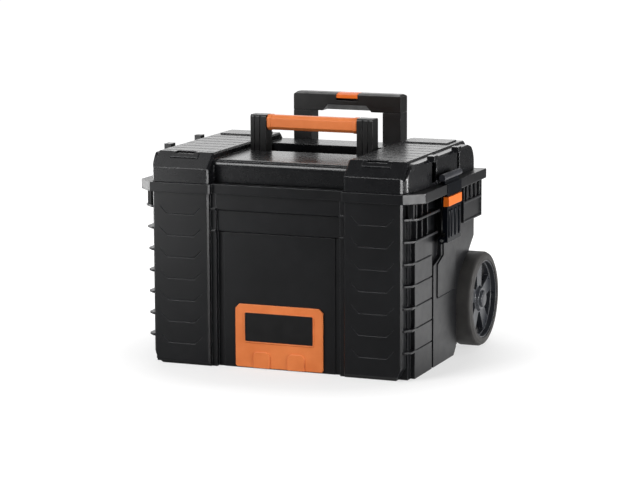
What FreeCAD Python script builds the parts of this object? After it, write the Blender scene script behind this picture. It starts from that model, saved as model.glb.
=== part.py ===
import FreeCAD, Part
import Sketcher
import os
import re

# Rolling toolbox: a ribbed bin on two wheels, a hinged lid with a fold-down carry handle,
# side latches and a two-stage tow handle. Millimetres, +Z up, front towards -Y, origin on
# the floor under the middle of the bin.

doc = FreeCAD.newDocument("rolling_toolbox")
sheet = doc.addObject("Spreadsheet::Sheet", "sizes")
places = doc.addObject("App::VarSet", "places")

driving = {
    # bin
    "case_width": 494, "case_depth": 360, "base_height": 344, "side_proud": 12.5, "wall": 4,
    "floor_thickness": 5, "plate_thickness": 8.5, "panel_width": 246, "shoulder_width": 10.4,
    "panel_recess": 21, "shoulder_recess": 11, "board_thickness": 4.5, "seam_height": 2.5, "seam_depth": 2,
    "field_width": 222, "field_proud": 1.5, "edge_chamfer": 3.5, "tick_reach": 4,
    "foot_chamfer_width": 13.6, "foot_chamfer_height": 23.3, "toe_chamfer": 8,
    "tread_width": 82, "tread_slant": 14, "tread_depth": 1.2, "tread_drop": 12,
    # rim round the mouth of the bin
    "rim_overhang": 35, "rim_height": 18, "rim_lip": 3.5, "rim_proud": 4, "rim_corner": 32,
    "rim_rear": 23.5,
    # ribs on the corners and plates on the sides
    "rib_pitch": 40.7, "rib_drop": 29, "rib_thickness": 4, "rib_proud": 2.5, "rib_flare": 4.2,
    "rib_end_gap": 6, "corner_post_reach": 4, "corner_post_width": 7.5,
    "corner_post_start": 15, "corner_post_length": 8, "plate_start": 36, "plate_length": 94,
    "groove_width": 9, "gap_height": 2.6, "gap_depth": 2.5, "panel_shoulder": 192, "panel_slope": 16,
    "panel_toe": 14, "neck_start": 43, "neck_rise": 13, "plaque_low": 129.5, "plaque_high": 202,
    "plaque_slope": 18, "plaque_front": 20, "plaque_rear": 10.5, "plaque_top": 229, "plaque_proud": 2,
    "plaque_border": 2.2,
    # rear corners and the ribbed skirts under the rim
    "rear_bulge": 17, "bulge_low": 214, "bulge_slope": 30, "post_bay": 254, "skirt_proud": 28,
    "skirt_gap": 33, "skirt_height": 72, "skirt_border": 3, "skirt_recess": 2.5, "ledge_height": 4,
    "slot_height": 32, "slot_width": 17, "slot_depth": 8, "slot_pitch": 25, "slot_margin": 8,
    "gusset_width": 4, "gusset_pitch": 30,
    # wheels and axle
    "wheel_radius": 91.5, "tyre_width": 50, "tyre_thickness": 16, "tyre_shoulder": 8, "tyre_proud": 4.5,
    "well_gap": 4.5, "wheel_clearance": 3.8, "roof_gap": 6, "axle_radius": 6, "axle_gap": 1.4,
    "boss_reach": 13, "boss_width": 46, "hub_rim": 2.5, "hub_inset": 2, "web_thickness": 12, "web_inset": 12,
    "hub_boss_radius": 25, "boss_inset": 6, "boss_slope": 3, "window_gap": 2.5, "bush_wall": 3,
    "cap_radius": 17, "cap_height": 4,
    "cap_crown": 1.2, "nut_radius": 10, "nut_height": 3.2, "axle_end": 2,
    # lid
    "lid_height": 54.9, "lid_front": 27.4, "lid_chamfer": 29.6, "lid_rear": 6, "lid_rear_chamfer": 10,
    "lid_step": 12, "lid_wall": 3.5, "lid_gap": 0.4, "lid_recess": 28, "lid_round": 13,
    "lid_side_proud": 15.5, "bulge_front": 7, "bulge_corner": 17, "bulge_mid": 42, "bulge_far_length": 90,
    "bulge_height": 51, "bulge_top_slope": 5.5, "bulge_top_inset": 4, "bulge_round": 26, "dome_radius": 38,
    "catch_reach": 8.5, "catch_rise": 2, "catch_height": 11, "catch_inset": 5.5,
    "front_catch_start": 107, "front_catch_length": 20, "rear_catch_start": 246, "rear_catch_length": 16,
    "notch_start": 119, "notch_length": 26, "notch_depth": 10, "gap_start": 264, "gap_length": 14,
    "flange_width": 20, "flange_thickness": 3, "stripe_pitch": 34.5, "stripe_width": 3.5,
    "stripe_depth": 1.6, "stripe_margin": 7, "stripe_start": 43, "strip_length": 56, "strip_height": 2.6,
    "strip_margin": 13, "strip_rear": 22, "slot_mouth": 40, "slot_back": 9, "slot_floor": 8,
    "mouth_drop": 3.2, "tab_base": 56, "tab_height": 9.5, "tab_proud": 2.4,
    "seal_width": 4, "seal_depth": 3, "seal_inset": 1.5,
    # lid hinge
    "hinge_drop": 3.4, "hinge_inset": 3, "hinge_margin": 70, "bracket_width": 24, "knuckle_gap": 2.5,
    "cheek_width": 10, "knuckle_radius": 6.5, "hinge_pin_radius": 3, "foot_thickness": 4,
    "bracket_rear": 17, "web_rear": 7.5, "web_gap": 1, "screw_edge": 4, "notch_reach": 13, "notch_roof": 10,
    "running_gap": 0.05,
    # carry handle
    "carry_width": 248, "arm_width": 32, "arm_depth": 30, "carry_height": 85, "carry_front_depth": 180,
    "carry_pivot_drop": 17.5, "grip_height": 28, "grip_depth": 25, "grip_chamfer": 6, "grip_top_drop": 0.6,
    "arm_chamfer": 5, "recess_gap": 0.8, "recess_start": 176, "recess_length": 114, "recess_floor_gap": 3,
    "carry_pin_radius": 4, "carry_pin_reach": 22, "carry_pin_seat": 10, "carry_rod_radius": 5,
    "carry_rod_reach": 22, "arm_groove_width": 3, "arm_groove_depth": 1.6,
    # side latches
    "latch_centre": 190, "latch_width": 80, "lever_near": 32, "lever_far": 46, "latch_pivot_inset": 8.5,
    "latch_pivot_z": 237, "barrel_radius": 6.5, "barrel_length": 20, "lever_thickness": 5, "lever_back": 10,
    "lever_drop": 3, "lever_knee": 252, "lever_top": 324, "neck_thickness": 5.5, "hook_thickness": 11,
    "hook_proud": 1, "hook_low": 321.3, "hook_rise": 1, "notch_play": 1.5, "tab_low": 303, "tab_rise": 18,
    "tab_reach": 3.5, "tab_near": 43.5, "tab_far": 31.5, "bar_radius": 6.5, "bar_rise": 13,
    "bar_setback": 8, "bar_length": 100, "saddle_inset": 3, "latch_pin_radius": 3, "lug_play": 0.5,
    "lug_gap": 0.6, "keeper_height": 5, "keeper_gap": 0.6,
    # tow handle
    "post_spacing": 186.2, "post_width": 37.4, "post_depth": 36.8, "post_wall": 3.6, "post_stand_off": 9.6,
    "post_low": 110, "post_top": 444, "flange_ear": 13, "mount_low": 124, "mount_high": 320,
    "tube_play": 2.4, "slide_gap": 0.3, "tube_wall": 1.5, "collar_height": 14, "collar_seat": 1.2,
    "tube_rise": 3, "stage_step": 6, "head_gap": 0.5, "head_height": 35.3, "relief_height": 12.5,
    "relief_low": 102, "relief_high": 80, "relief_depth": 26, "head_chamfer": 5, "head_crown": 3,
    "crown_run": 9, "head_lug": 12, "leg_width": 37.4,
    "button_width": 44, "button_depth": 27, "button_height": 10, "button_travel": 4, "button_gap": 0.4,
    "release_bar_width": 7, "release_bar_height": 4, "rod_radius": 3, "rod_foot": 5.5, "spring_radius": 8.4,
    "spring_wall": 1.4, "lock_pin_radius": 3, "lock_pin_rise": 8,
    # badge
    "badge_width": 175, "badge_height": 119, "badge_low": 2, "badge_thickness": 4, "badge_corner": 8,
    "badge_foot": 3, "label_width": 135, "label_height": 53.5, "label_low": 49.5, "label_thickness": 0.8,
    "pad_width": 33, "pad_height": 30, "pad_spacing": 69, "pad_proud": 2.6, "pad_corner": 9,
    # screws
    "screw_radius": 1.9, "screw_head_radius": 4, "screw_head_height": 3, "screw_inset": 22,
    # every cut runs past the face that it opens by this much
    "overrun": 2,
}
for row, (name, number) in enumerate(driving.items(), 1):
    sheet.set("A%d" % row, name)
    sheet.set("B%d" % row, str(number))
    sheet.setAlias("B%d" % row, name)
doc.recompute()

rib_count = 7
wide_ribs = 2
slot_count = 4
gusset_count = 3
stripe_count = 7
arm_groove_count = 2
spoke_count = 5
# corners of one hub opening: shares of its reach from the boss to the rim, and degrees round the axle
window_shares = ((0, 44), (0, 64), (1, 77), (1, 65.5), (1, 54), (1, 42.5), (1, 31))
worked_out = []


def bind(text):
    def owner(match):
        word = match.group(0)
        if word in driving:
            return "sizes." + word
        return "places." + word if word in worked_out else word
    return re.sub(r"[A-Za-z_]\w*", owner, text)


def value(text):
    return float(sheet.evalExpression(bind(text)))


def work_out(name, formula):
    places.addProperty("App::PropertyFloat", name)
    places.setExpression(name, bind(formula))
    worked_out.append(name)
    doc.recompute()


# Planes and lines that several pieces share
for name, formula in {
    "front": "-case_depth/2", "rear": "case_depth/2", "pillar_half": "case_width/2",
    "panel_half": "panel_width/2", "pillar_inner": "panel_width/2 + shoulder_width",
    "side_half": "pillar_half + side_proud", "core_half": "side_half - plate_thickness",
    "rim_half": "pillar_half + rim_overhang", "rim_low": "base_height - rim_height",
    "skirt_half": "pillar_half + skirt_proud", "bay_half": "post_bay/2",
    "panel_y": "panel_recess - case_depth/2", "shoulder_y": "shoulder_recess - case_depth/2",
    "plate_y": "plate_start - case_depth/2", "groove_y": "plate_start + plate_length - case_depth/2",
    "side_panel_y": "plate_start + plate_length + groove_width - case_depth/2",
    "tyre_outer": "rim_half + tyre_proud", "tyre_inner": "tyre_outer - tyre_width",
    "well_half": "tyre_inner - well_gap", "axle_z": "wheel_radius",
    "axle_y": "case_depth/2 + axle_radius + axle_gap",
    "well_y": "case_depth/2 + axle_radius + axle_gap - wheel_radius - wheel_clearance",
    "well_roof": "2*wheel_radius + roof_gap", "arch_z": "well_roof - wheel_radius - wheel_clearance",
    "hub_radius": "wheel_radius - tyre_thickness",
    "rib_top": "base_height - rim_height - rib_drop",
    "bulge_y": "case_depth/2 + rear_bulge", "rim_y": "case_depth/2 + rim_rear",
    "lid_low": "base_height + lid_gap", "lid_top": "base_height + lid_gap + lid_height",
    "lid_y": "case_depth/2 + lid_rear", "lid_side": "pillar_half + lid_side_proud",
    "hinge_centre": "pillar_half - hinge_margin",
    "hinge_y": "case_depth/2 + lid_rear - hinge_inset",
    "latch_y": "latch_centre - case_depth/2", "post_half": "post_spacing/2",
    "post_y": "case_depth/2 + post_stand_off + post_depth/2",
    "carry_y": "carry_front_depth + arm_depth/2 - case_depth/2", "carry_half": "carry_width/2",
    "badge_y": "panel_recess - field_proud - case_depth/2",
}.items():
    work_out(name, formula)
for name, formula in {
    "lid_middle": "lid_top - lid_step", "hinge_z": "lid_top - lid_step - hinge_drop",
    "carry_z": "lid_top - lid_step - carry_pivot_drop",
    "carry_top": "lid_top - lid_step - carry_pivot_drop + carry_height",
    "recess_floor": "lid_top - lid_step - carry_pivot_drop - arm_depth/2 - recess_floor_gap",
    "recess_half": "carry_half + recess_gap", "bar_z": "base_height + bar_rise",
    "latch_x": "side_half + latch_pivot_inset", "hook_x": "rim_half + hook_proud",
    "bar_x": "rim_half + hook_proud - bar_setback",
    "lever_x": "side_half + latch_pivot_inset + barrel_radius + lug_play",
    "seat_x": "rim_half + hook_proud - hook_thickness - notch_play",
    "bore_width": "post_width - 2*post_wall", "bore_depth": "post_depth - 2*post_wall",
    "middle_width": "post_width - 2*post_wall - 2*tube_play",
    "middle_depth": "post_depth - 2*post_wall - 2*tube_play",
    "middle_top": "post_top - tube_rise", "middle_low": "post_low + tube_rise",
    "head_low": "post_top + head_gap", "head_top": "post_top + head_gap + head_height",
    "bracket_half": "bracket_width/2", "cheek_half": "bracket_width/2 + knuckle_gap",
}.items():
    work_out(name, formula)
for name, formula in {
    "inner_width": "middle_width - 2*tube_wall - 2*tube_play",
    "inner_depth": "middle_depth - 2*tube_wall - 2*tube_play",
    "inner_low": "middle_low + stage_step", "bar_top": "head_top - button_height",
    "lever_face": "lever_x + lever_thickness", "lever_low": "latch_y - lever_near",
    "lever_high": "latch_y + lever_far", "skirt_y": "latch_y + lever_far + skirt_gap",
    "tab_x": "lever_x + lever_thickness - lever_back + neck_thickness",
}.items():
    work_out(name, formula)

nodes = []


def node(label, piece):
    piece.Label = label
    nodes.append(piece)
    return piece


def settle(piece, **formulas):
    for key, formula in formulas.items():
        piece.setExpression(key.replace("__", "."), bind(formula))
    return piece


def block(label, x, y, z):
    # a box given by its low and high side along each axis
    piece = doc.addObject("Part::Box", label)
    for size, axis, (low, high) in (("Length", "x", x), ("Width", "y", y), ("Height", "z", z)):
        piece.setExpression(size, bind("(%s) - (%s)" % (high, low)))
        piece.setExpression("Placement.Base." + axis, bind(low))
    return piece


turns = {"x": FreeCAD.Rotation(FreeCAD.Vector(0, 1, 0), 90),
         "y": FreeCAD.Rotation(FreeCAD.Vector(1, 0, 0), -90),
         "z": FreeCAD.Rotation()}


def rod(label, axis, radius, low, high, u, v):
    # a cylinder along one axis; u and v place it on the other two, in X, Y, Z order
    piece = doc.addObject("Part::Cylinder", label)
    piece.Placement = FreeCAD.Placement(FreeCAD.Vector(), turns[axis])
    settle(piece, Radius=radius, Height="(%s) - (%s)" % (high, low))
    others = [name for name in "xyz" if name != axis]
    for name, formula in ((axis, low), (others[0], u), (others[1], v)):
        piece.setExpression("Placement.Base." + name, bind(formula))
    return piece


def plane_of(body, role):
    return [part for part in body.Origin.OriginFeatures if part.Role == role][0]


def draw(sketch, points):
    # closed outline of straight lines whose corners are tied to the sizes
    spots = [FreeCAD.Vector(value(u), value(v), 0) for u, v in points]
    count = len(spots)
    first = sketch.GeometryCount
    sketch.addGeometry([Part.LineSegment(spots[i], spots[(i + 1) % count]) for i in range(count)], False)
    for i in range(count):
        sketch.addConstraint(Sketcher.Constraint("Coincident", first + i, 2, first + (i + 1) % count, 1))
    for i, point in enumerate(points):
        for kind, formula, place in zip(("DistanceX", "DistanceY"), point, spots[i]):
            number = sketch.addConstraint(Sketcher.Constraint(kind, -1, 1, first + i, 1, place))
            sketch.setExpression("Constraints[%d]" % number, bind(formula))


def sketch_on(body, role, points):
    sketch = body.newObject("Sketcher::SketchObject", body.Name + "_outline")
    sketch.AttachmentSupport = [(plane_of(body, role), "")]
    sketch.MapMode = "FlatFace"
    draw(sketch, points)
    return sketch


axis_of = {"XY_Plane": "z", "XZ_Plane": "y", "YZ_Plane": "x"}


def slab(label, role, points, low, high, rounds=None, bevel=None):
    # an outline on one plane, padded from low to high along the third axis;
    # rounds gives a radius to the corners with these numbers, and bevel a chamfer
    # to both ends of the sides with these numbers
    body = doc.addObject("PartDesign::Body", label)
    sketch = sketch_on(body, role, points)
    pad = body.newObject("PartDesign::Pad", label + "_pad")
    pad.Profile = sketch
    pad.Reversed = role == "XZ_Plane"
    pad.setExpression("Length", bind("(%s) - (%s)" % (high, low)))
    body.setExpression("Placement.Base." + axis_of[role], bind(low))
    for radius, corners in (rounds or {}).items():
        doc.recompute()
        tip = body.Tip
        names = [edge for corner in corners for edge in edges_along(tip.Shape, role, points[corner])]
        fillet = body.newObject("PartDesign::Fillet", label + "_round")
        fillet.Base = (tip, names)
        fillet.setExpression("Radius", bind(radius))
    if bevel:
        size, sides = bevel
        doc.recompute()
        tip = body.Tip
        chamfer = body.newObject("PartDesign::Chamfer", label + "_bevel")
        chamfer.Base = (tip, end_edges(tip.Shape, role, points, sides))
        chamfer.setExpression("Size", bind(size))
    return body


def edges_along(shape, role, point):
    # the edges that run square to the plane through one corner of the outline
    axis = "xyz".index(axis_of[role])
    spot = [value(point[0]), value(point[1])]
    near = value("running_gap")
    found = []
    for number, edge in enumerate(shape.Edges, 1):
        flat = [[v.Point[i] for i in range(3) if i != axis] for v in edge.Vertexes]
        if all(abs(a - b) < near for place in flat for a, b in zip(place, spot)):
            found.append("Edge%d" % number)
    return found


def end_edges(shape, role, points, sides):
    # the edges of both ends that run along these sides of the outline
    axis = "xyz".index(axis_of[role])
    spots = [(value(u), value(v)) for u, v in points]
    near = value("running_gap")
    found = []
    for number, edge in enumerate(shape.Edges, 1):
        ends = [[v.Point[i] for i in range(3) if i != axis] for v in edge.Vertexes]
        for side in sides:
            pair_of = [spots[side], spots[(side + 1) % len(spots)]]
            for order in (pair_of, pair_of[::-1]):
                if all(abs(a - b) < near for place, spot in zip(ends, order) for a, b in zip(place, spot)):
                    found.append("Edge%d" % number)
    return found


def fuse(label, pieces):
    piece = doc.addObject("Part::MultiFuse", label)
    piece.Shapes = pieces
    piece.Refine = True
    return piece


def cut(label, base, tools):
    piece = doc.addObject("Part::Cut", label)
    piece.Base = base
    piece.Tool = tools[0] if len(tools) == 1 else fuse(label + "_tools", tools)
    piece.Refine = True
    return piece


def common(label, base, tool):
    piece = doc.addObject("Part::Common", label)
    piece.Base = base
    piece.Tool = tool
    return piece


def mirrored(label, source):
    piece = doc.addObject("Part::Mirroring", label)
    piece.Source = source
    piece.Normal = FreeCAD.Vector(1, 0, 0)
    return piece


def pair(name, right):
    # the right piece and its mirror image, each a node of its own
    return [node(name + "_right", right), node(name + "_left", mirrored(name + "_left", right))]


def on_both_sides(pieces):
    return pieces + [mirrored(piece.Name + "_left", piece) for piece in pieces]


def both_halves(points):
    # a whole outline from the half at +X, listed from the front to the rear
    return points + [("-(%s)" % x, y) for x, y in reversed(points)]


def ring(label, x, y, z, width):
    outer = block(label + "_outer", x, y, z)
    inner = block(label + "_inner", ("%s + %s" % (x[0], width), "%s - %s" % (x[1], width)),
                  ("%s + %s" % (y[0], width), "%s - %s" % (y[1], width)),
                  ("%s - overrun" % z[0], "%s + overrun" % z[1]))
    return cut(label, outer, [inner])


def rib_z(number):
    return "(rib_top - %d*rib_pitch)" % number


# Outline of the raised plaque on each side panel, grown all round by one size
def plaque_outline(grow):
    fore = "side_panel_y + plaque_front - %s" % grow
    neck = "side_panel_y + neck_start + plaque_rear - %s" % grow
    aft = "well_y - plaque_rear + %s" % grow
    slant = "well_y - plaque_rear - plaque_slope + %s" % grow
    return [(fore, "plaque_low - %s" % grow), (aft, "plaque_low - %s" % grow),
            (aft, "plaque_high + %s/2" % grow), (slant, "plaque_high + plaque_slope + %s/2" % grow),
            (slant, "plaque_top + %s" % grow), (neck, "plaque_top + %s" % grow),
            (neck, "panel_shoulder + neck_rise + %s/2" % grow), (fore, "panel_shoulder + %s/2" % grow)]


# Bin: core, pillars, stepped boards on the middle panel, side panels, ribs and rim
def make_bin():
    core = block("core", ("-core_half", "core_half"), ("panel_y", "rear"), ("0", "base_height"))
    boards = [block("board_%d" % i, ("-panel_half", "panel_half"),
                    ("panel_y - %d*board_thickness" % (2 - i), "panel_y"),
                    (rib_z(i), "rim_low" if i == 0 else rib_z(i - 1))) for i in range(2)]
    field = block("field", ("-field_width/2", "field_width/2"), ("panel_y - field_proud", "panel_y"),
                  ("0", rib_z(1)))
    pillar_front = slab("pillar_front", "XZ_Plane", [
        ("pillar_inner", "0"), ("pillar_half - foot_chamfer_width", "0"),
        ("pillar_half", "foot_chamfer_height"), ("pillar_half", "base_height"),
        ("pillar_inner", "base_height")], "front", "panel_y")
    pillar_plan = slab("pillar_plan", "XY_Plane", [
        ("pillar_inner", "panel_y"), ("pillar_inner", "front + edge_chamfer"),
        ("pillar_inner + edge_chamfer", "front"), ("pillar_half - edge_chamfer", "front"),
        ("pillar_half", "front + edge_chamfer"), ("pillar_half", "panel_y")], "0", "base_height")
    pillar = common("pillar", pillar_front, pillar_plan)
    shoulder = block("shoulder", ("panel_half", "pillar_inner"), ("shoulder_y", "panel_y"),
                     ("0", "base_height"))
    ticks = [block("tick_%d" % i, ("panel_half", "pillar_inner"), ("shoulder_y - tick_reach", "shoulder_y"),
                   (rib_z(i) + " - rib_thickness/2", rib_z(i) + " + rib_thickness/2"))
             for i in range(wide_ribs)]
    plates = block("plates", ("core_half", "side_half"), ("plate_y", "groove_y"), ("0", rib_z(1)))
    side_panel = slab("side_panel", "YZ_Plane", [
        ("side_panel_y", "0"), ("well_y - panel_toe", "0"), ("well_y", "panel_toe"),
        ("well_y", "panel_shoulder"), ("well_y - panel_slope", "panel_shoulder + panel_slope"),
        ("well_y - panel_slope", "rim_low"), ("side_panel_y + neck_start", "rim_low"),
        ("side_panel_y + neck_start", "panel_shoulder + neck_rise"),
        ("side_panel_y", "panel_shoulder")], "core_half", "side_half")
    plaque = slab("plaque", "YZ_Plane", plaque_outline("0"), "side_half", "side_half + plaque_proud")
    fender = block("fender", ("core_half", "side_half"), ("well_y", "bulge_y - bulge_slope"),
                   ("arch_z", "well_roof"))
    ribs = []
    for i in range(rib_count):
        wide = i < wide_ribs
        tip = "side_half + rib_proud + %d*rib_flare" % max(wide_ribs - i, 0)
        end = "latch_y - latch_width/2 - rib_end_gap" if wide else "plate_y"
        ribs.append(slab("rib_%d" % i, "XY_Plane", [
            ("core_half - wall", "front + edge_chamfer"),
            ("pillar_half + edge_chamfer", "front + edge_chamfer"),
            (tip, "front + (%s) - pillar_half" % tip), (tip, end),
            ("core_half - wall", end)],
            rib_z(i) + " - rib_thickness/2", rib_z(i) + " + rib_thickness/2"))
    gussets = [block("gusset_%d" % i, ("core_half", "side_half + rib_proud"),
                     ("plate_y + %d*gusset_pitch" % i, "plate_y + %d*gusset_pitch + gusset_width" % i),
                     (rib_z(1), "rim_low")) for i in range(gusset_count)]
    corner_post = block("corner_post",
                        ("side_half + corner_post_reach - corner_post_width",
                         "side_half + corner_post_reach"),
                        ("front + corner_post_start", "front + corner_post_start + corner_post_length"),
                        (rib_z(0), "rim_low"))
    bulge = slab("bulge", "YZ_Plane", [
        ("well_y - panel_slope", "well_roof"), ("bulge_y - bulge_slope", "well_roof"),
        ("bulge_y", "bulge_low"), ("bulge_y", "rim_low"), ("well_y - panel_slope", "rim_low")],
        "bay_half", "side_half")
    skirt = block("skirt", ("side_half", "skirt_half"), ("skirt_y", "bulge_y"),
                  ("rim_low - skirt_height", "rim_low"))
    rim = slab("rim", "XY_Plane", both_halves([
        ("pillar_inner - rim_proud", "panel_y - 2*board_thickness - rim_proud"),
        ("pillar_inner - rim_proud", "front - rim_proud + edge_chamfer"),
        ("pillar_inner - rim_proud + edge_chamfer", "front - rim_proud"),
        ("rim_half - rim_corner", "front - rim_proud"), ("rim_half", "front - rim_proud + rim_corner"),
        ("rim_half", "rim_y"), ("bay_half", "rim_y"), ("bay_half", "rear + rim_proud")]),
        "rim_low", "base_height")
    boss = block("axle_boss", ("well_half - boss_width", "well_half"), ("rear", "axle_y + boss_reach"),
                 ("axle_z - boss_reach", "axle_z + boss_reach"))
    lug_near = "lever_low + barrel_length + lug_gap"
    lug_far = "lever_high - barrel_length - lug_gap"
    lug = block("latch_lug", ("side_half", "latch_x"), (lug_near, lug_far),
                ("latch_pivot_z - barrel_radius", "latch_pivot_z + barrel_radius"))
    lug_round = rod("latch_lug_round", "y", "barrel_radius", lug_near, lug_far, "latch_x", "latch_pivot_z")
    shell = fuse("bin_shell", [core, field, rim] + boards + on_both_sides(
        [pillar, shoulder, plates, side_panel, plaque, fender, bulge, skirt, boss, corner_post, lug,
         lug_round] + ribs + gussets + ticks))

    hollow = block("hollow", ("wall - core_half", "core_half - wall"), ("panel_y + wall", "rear - wall"),
                   ("floor_thickness", "base_height + overrun"))
    well_walls = block("well_walls", ("well_half - wall", "core_half"), ("well_y - wall", "rear"),
                       ("0", "well_roof + wall"))
    cavity = cut("cavity", hollow, on_both_sides([well_walls]))
    arch = rod("well_arch", "x", "wheel_radius + wheel_clearance", "well_half", "side_half + overrun",
               "axle_y", "arch_z")
    well = block("well", ("well_half", "side_half + overrun"), ("well_y", "rear + overrun"),
                 ("-overrun", "arch_z"))
    pocket = block("pillar_pocket", ("pillar_inner + wall", "pillar_half - wall"),
                   ("front + wall", "panel_y + wall + overrun"), ("foot_chamfer_height", "rim_low - wall"))
    corner_pocket = block("corner_pocket", ("bay_half + wall", "core_half - wall"),
                          ("rear - wall - overrun", "bulge_y - wall"),
                          ("bulge_low + wall", "rim_low - wall"))
    under_rim = block("under_rim", ("side_half", "rim_half - rim_lip"),
                      ("plate_y + gusset_width/2", "rim_y - rim_lip"),
                      ("rim_low - overrun", "base_height - rim_lip"))
    rear_skirt_keep = block("skirt_keep", ("side_half", "skirt_half"),
                            ("skirt_y", "bulge_y"),
                            ("rim_low - 2*overrun", "rim_low"))
    gusset_keep = block("gusset_keep", ("side_half", "rim_half"), ("plate_y", "side_panel_y"),
                        ("rim_low - 2*overrun", "rim_low"))
    rim_pocket = cut("rim_pocket", under_rim, [rear_skirt_keep, gusset_keep])
    latch_bay = block("latch_bay", ("seat_x", "rim_half + overrun"),
                      ("latch_y - latch_width/2 - notch_play", "latch_y + latch_width/2 + notch_play"),
                      ("rim_low - overrun", "base_height + overrun"))
    gaps = [block("plate_gap_%d" % i, ("side_half - gap_depth", "side_half + overrun"),
                  ("plate_y", "groove_y + overrun"),
                  (rib_z(i) + " - gap_height/2", rib_z(i) + " + gap_height/2"))
            for i in range(wide_ribs, rib_count)]
    ledge_low = "rim_low - slot_height - ledge_height"
    skirt_panels = [block("skirt_panel_" + name, ("skirt_half - skirt_recess", "skirt_half + overrun"),
                          ("skirt_y + skirt_border", "bulge_y - skirt_border"), (low, high))
                    for name, low, high in (
                        ("high", "rim_low - slot_height", "rim_low"),
                        ("low", "rim_low - skirt_height + skirt_border", ledge_low))]
    seams = [block("seam_%d" % i, ("-panel_half", "panel_half"),
                   ("panel_y - %d*board_thickness" % (2 - i),
                    "panel_y - %d*board_thickness + seam_depth" % (1 - i)),
                   (rib_z(i) + " - seam_height", rib_z(i))) for i in range(2)]
    plaque_border = cut("plaque_border", slab("plaque_grown", "YZ_Plane", plaque_outline("plaque_border"),
                                              "side_half - gap_depth", "side_half + overrun"),
                        [slab("plaque_kept", "YZ_Plane", plaque_outline("0"), "side_half - 2*gap_depth",
                              "side_half + 2*overrun")])
    slots = [block("skirt_slot_%d" % i, ("skirt_half - slot_depth", "skirt_half + overrun"),
                   ("bulge_y - slot_margin - slot_width - %d*slot_pitch" % i,
                    "bulge_y - slot_margin - %d*slot_pitch" % i),
                   ("rim_low - slot_height", "rim_low")) for i in range(slot_count)]
    toe = slab("toe", "YZ_Plane", [("front - overrun", "-overrun"),
                                   ("front + toe_chamfer + overrun", "-overrun"),
                                   ("front - overrun", "toe_chamfer + overrun")], "-side_half", "side_half")
    axle_bore = rod("axle_bore", "x", "axle_radius + running_gap", "-well_half - overrun",
                    "well_half + overrun", "axle_y", "axle_z")
    pin_bore = rod("latch_pin_bore", "y", "latch_pin_radius + running_gap", lug_near + " - overrun",
                   lug_far + " + overrun", "latch_x", "latch_pivot_z")
    groove = ring("seal_groove", ("-core_half - seal_inset", "core_half + seal_inset"),
                  ("panel_y - seal_inset", "rear + seal_inset"),
                  ("base_height - seal_depth", "base_height + overrun"), "seal_width")
    treads = []
    for i in range(rib_count):
        low = rib_z(i) + " - tread_drop"
        for name, points in (("floor", [("-tread_width/2 + tread_slant", "0"),
                                        ("tread_width/2 - tread_slant", "0")]),
                             ("left", [("-tread_width/2", "tread_slant"),
                                       ("-tread_width/2 + tread_slant", "0")]),
                             ("right", [("tread_width/2 - tread_slant", "0"),
                                        ("tread_width/2", "tread_slant")])):
            (u0, v0), (u1, v1) = points
            middle = "(pillar_inner + pillar_half)/2"
            treads.append(slab("tread_%s_%d" % (name, i), "XZ_Plane", [
                (middle + " + " + u0, low + " + " + v0), (middle + " + " + u1, low + " + " + v1),
                (middle + " + " + u1, low + " + " + v1 + " + tread_depth"),
                (middle + " + " + u0, low + " + " + v0 + " + tread_depth")],
                "front - overrun", "front + tread_depth"))
    return cut("bin", shell, [cavity, groove, axle_bore, toe] + seams + screw_holes() + on_both_sides(
        [pocket, corner_pocket, rim_pocket, latch_bay, pin_bore, arch, well, plaque_border] + gaps
        + skirt_panels + slots + treads))


# Screws: heads behind the post flanges and on the bracket feet
def post_screw_places():
    return [("%s*post_half %s (post_width/2 + flange_ear/2)" % (side, ear), z)
            for side in ("1", "-1") for ear in ("+", "-")
            for z in ("mount_low + screw_inset", "mount_high - screw_inset")]


def bracket_screw_places():
    return [("%s*hinge_centre %s bracket_width/4" % (side, ear), "lid_y + bracket_rear - screw_edge")
            for side in ("1", "-1") for ear in ("+", "-")]


def screw_holes():
    holes = [rod("post_hole_%d" % i, "y", "screw_radius + running_gap", "rear - wall - overrun",
                 "rear + post_stand_off + overrun", x, z) for i, (x, z) in enumerate(post_screw_places())]
    holes += [rod("bracket_hole_%d" % i, "z", "screw_radius + running_gap", "rim_low - overrun",
                  "base_height + foot_thickness + overrun", x, y)
              for i, (x, y) in enumerate(bracket_screw_places())]
    return holes


def make_screws():
    post_screws = []
    for i, (x, z) in enumerate(post_screw_places()):
        post_screws.append(fuse("post_screw_%d" % i, [
            rod("post_shank_%d" % i, "y", "screw_radius", "rear - wall", "rear + post_stand_off", x, z),
            rod("post_head_%d" % i, "y", "screw_head_radius", "rear + post_stand_off",
                "rear + post_stand_off + screw_head_height", x, z)]))
    node("post_screws", fuse("post_screws", post_screws))
    bracket_screws = []
    for i, (x, y) in enumerate(bracket_screw_places()):
        bracket_screws.append(fuse("bracket_screw_%d" % i, [
            rod("bracket_shank_%d" % i, "z", "screw_radius", "rim_low", "base_height + foot_thickness",
                x, y),
            rod("bracket_head_%d" % i, "z", "screw_head_radius", "base_height + foot_thickness",
                "base_height + foot_thickness + screw_head_height", x, y)]))
    node("bracket_screws", fuse("bracket_screws", bracket_screws))


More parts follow.
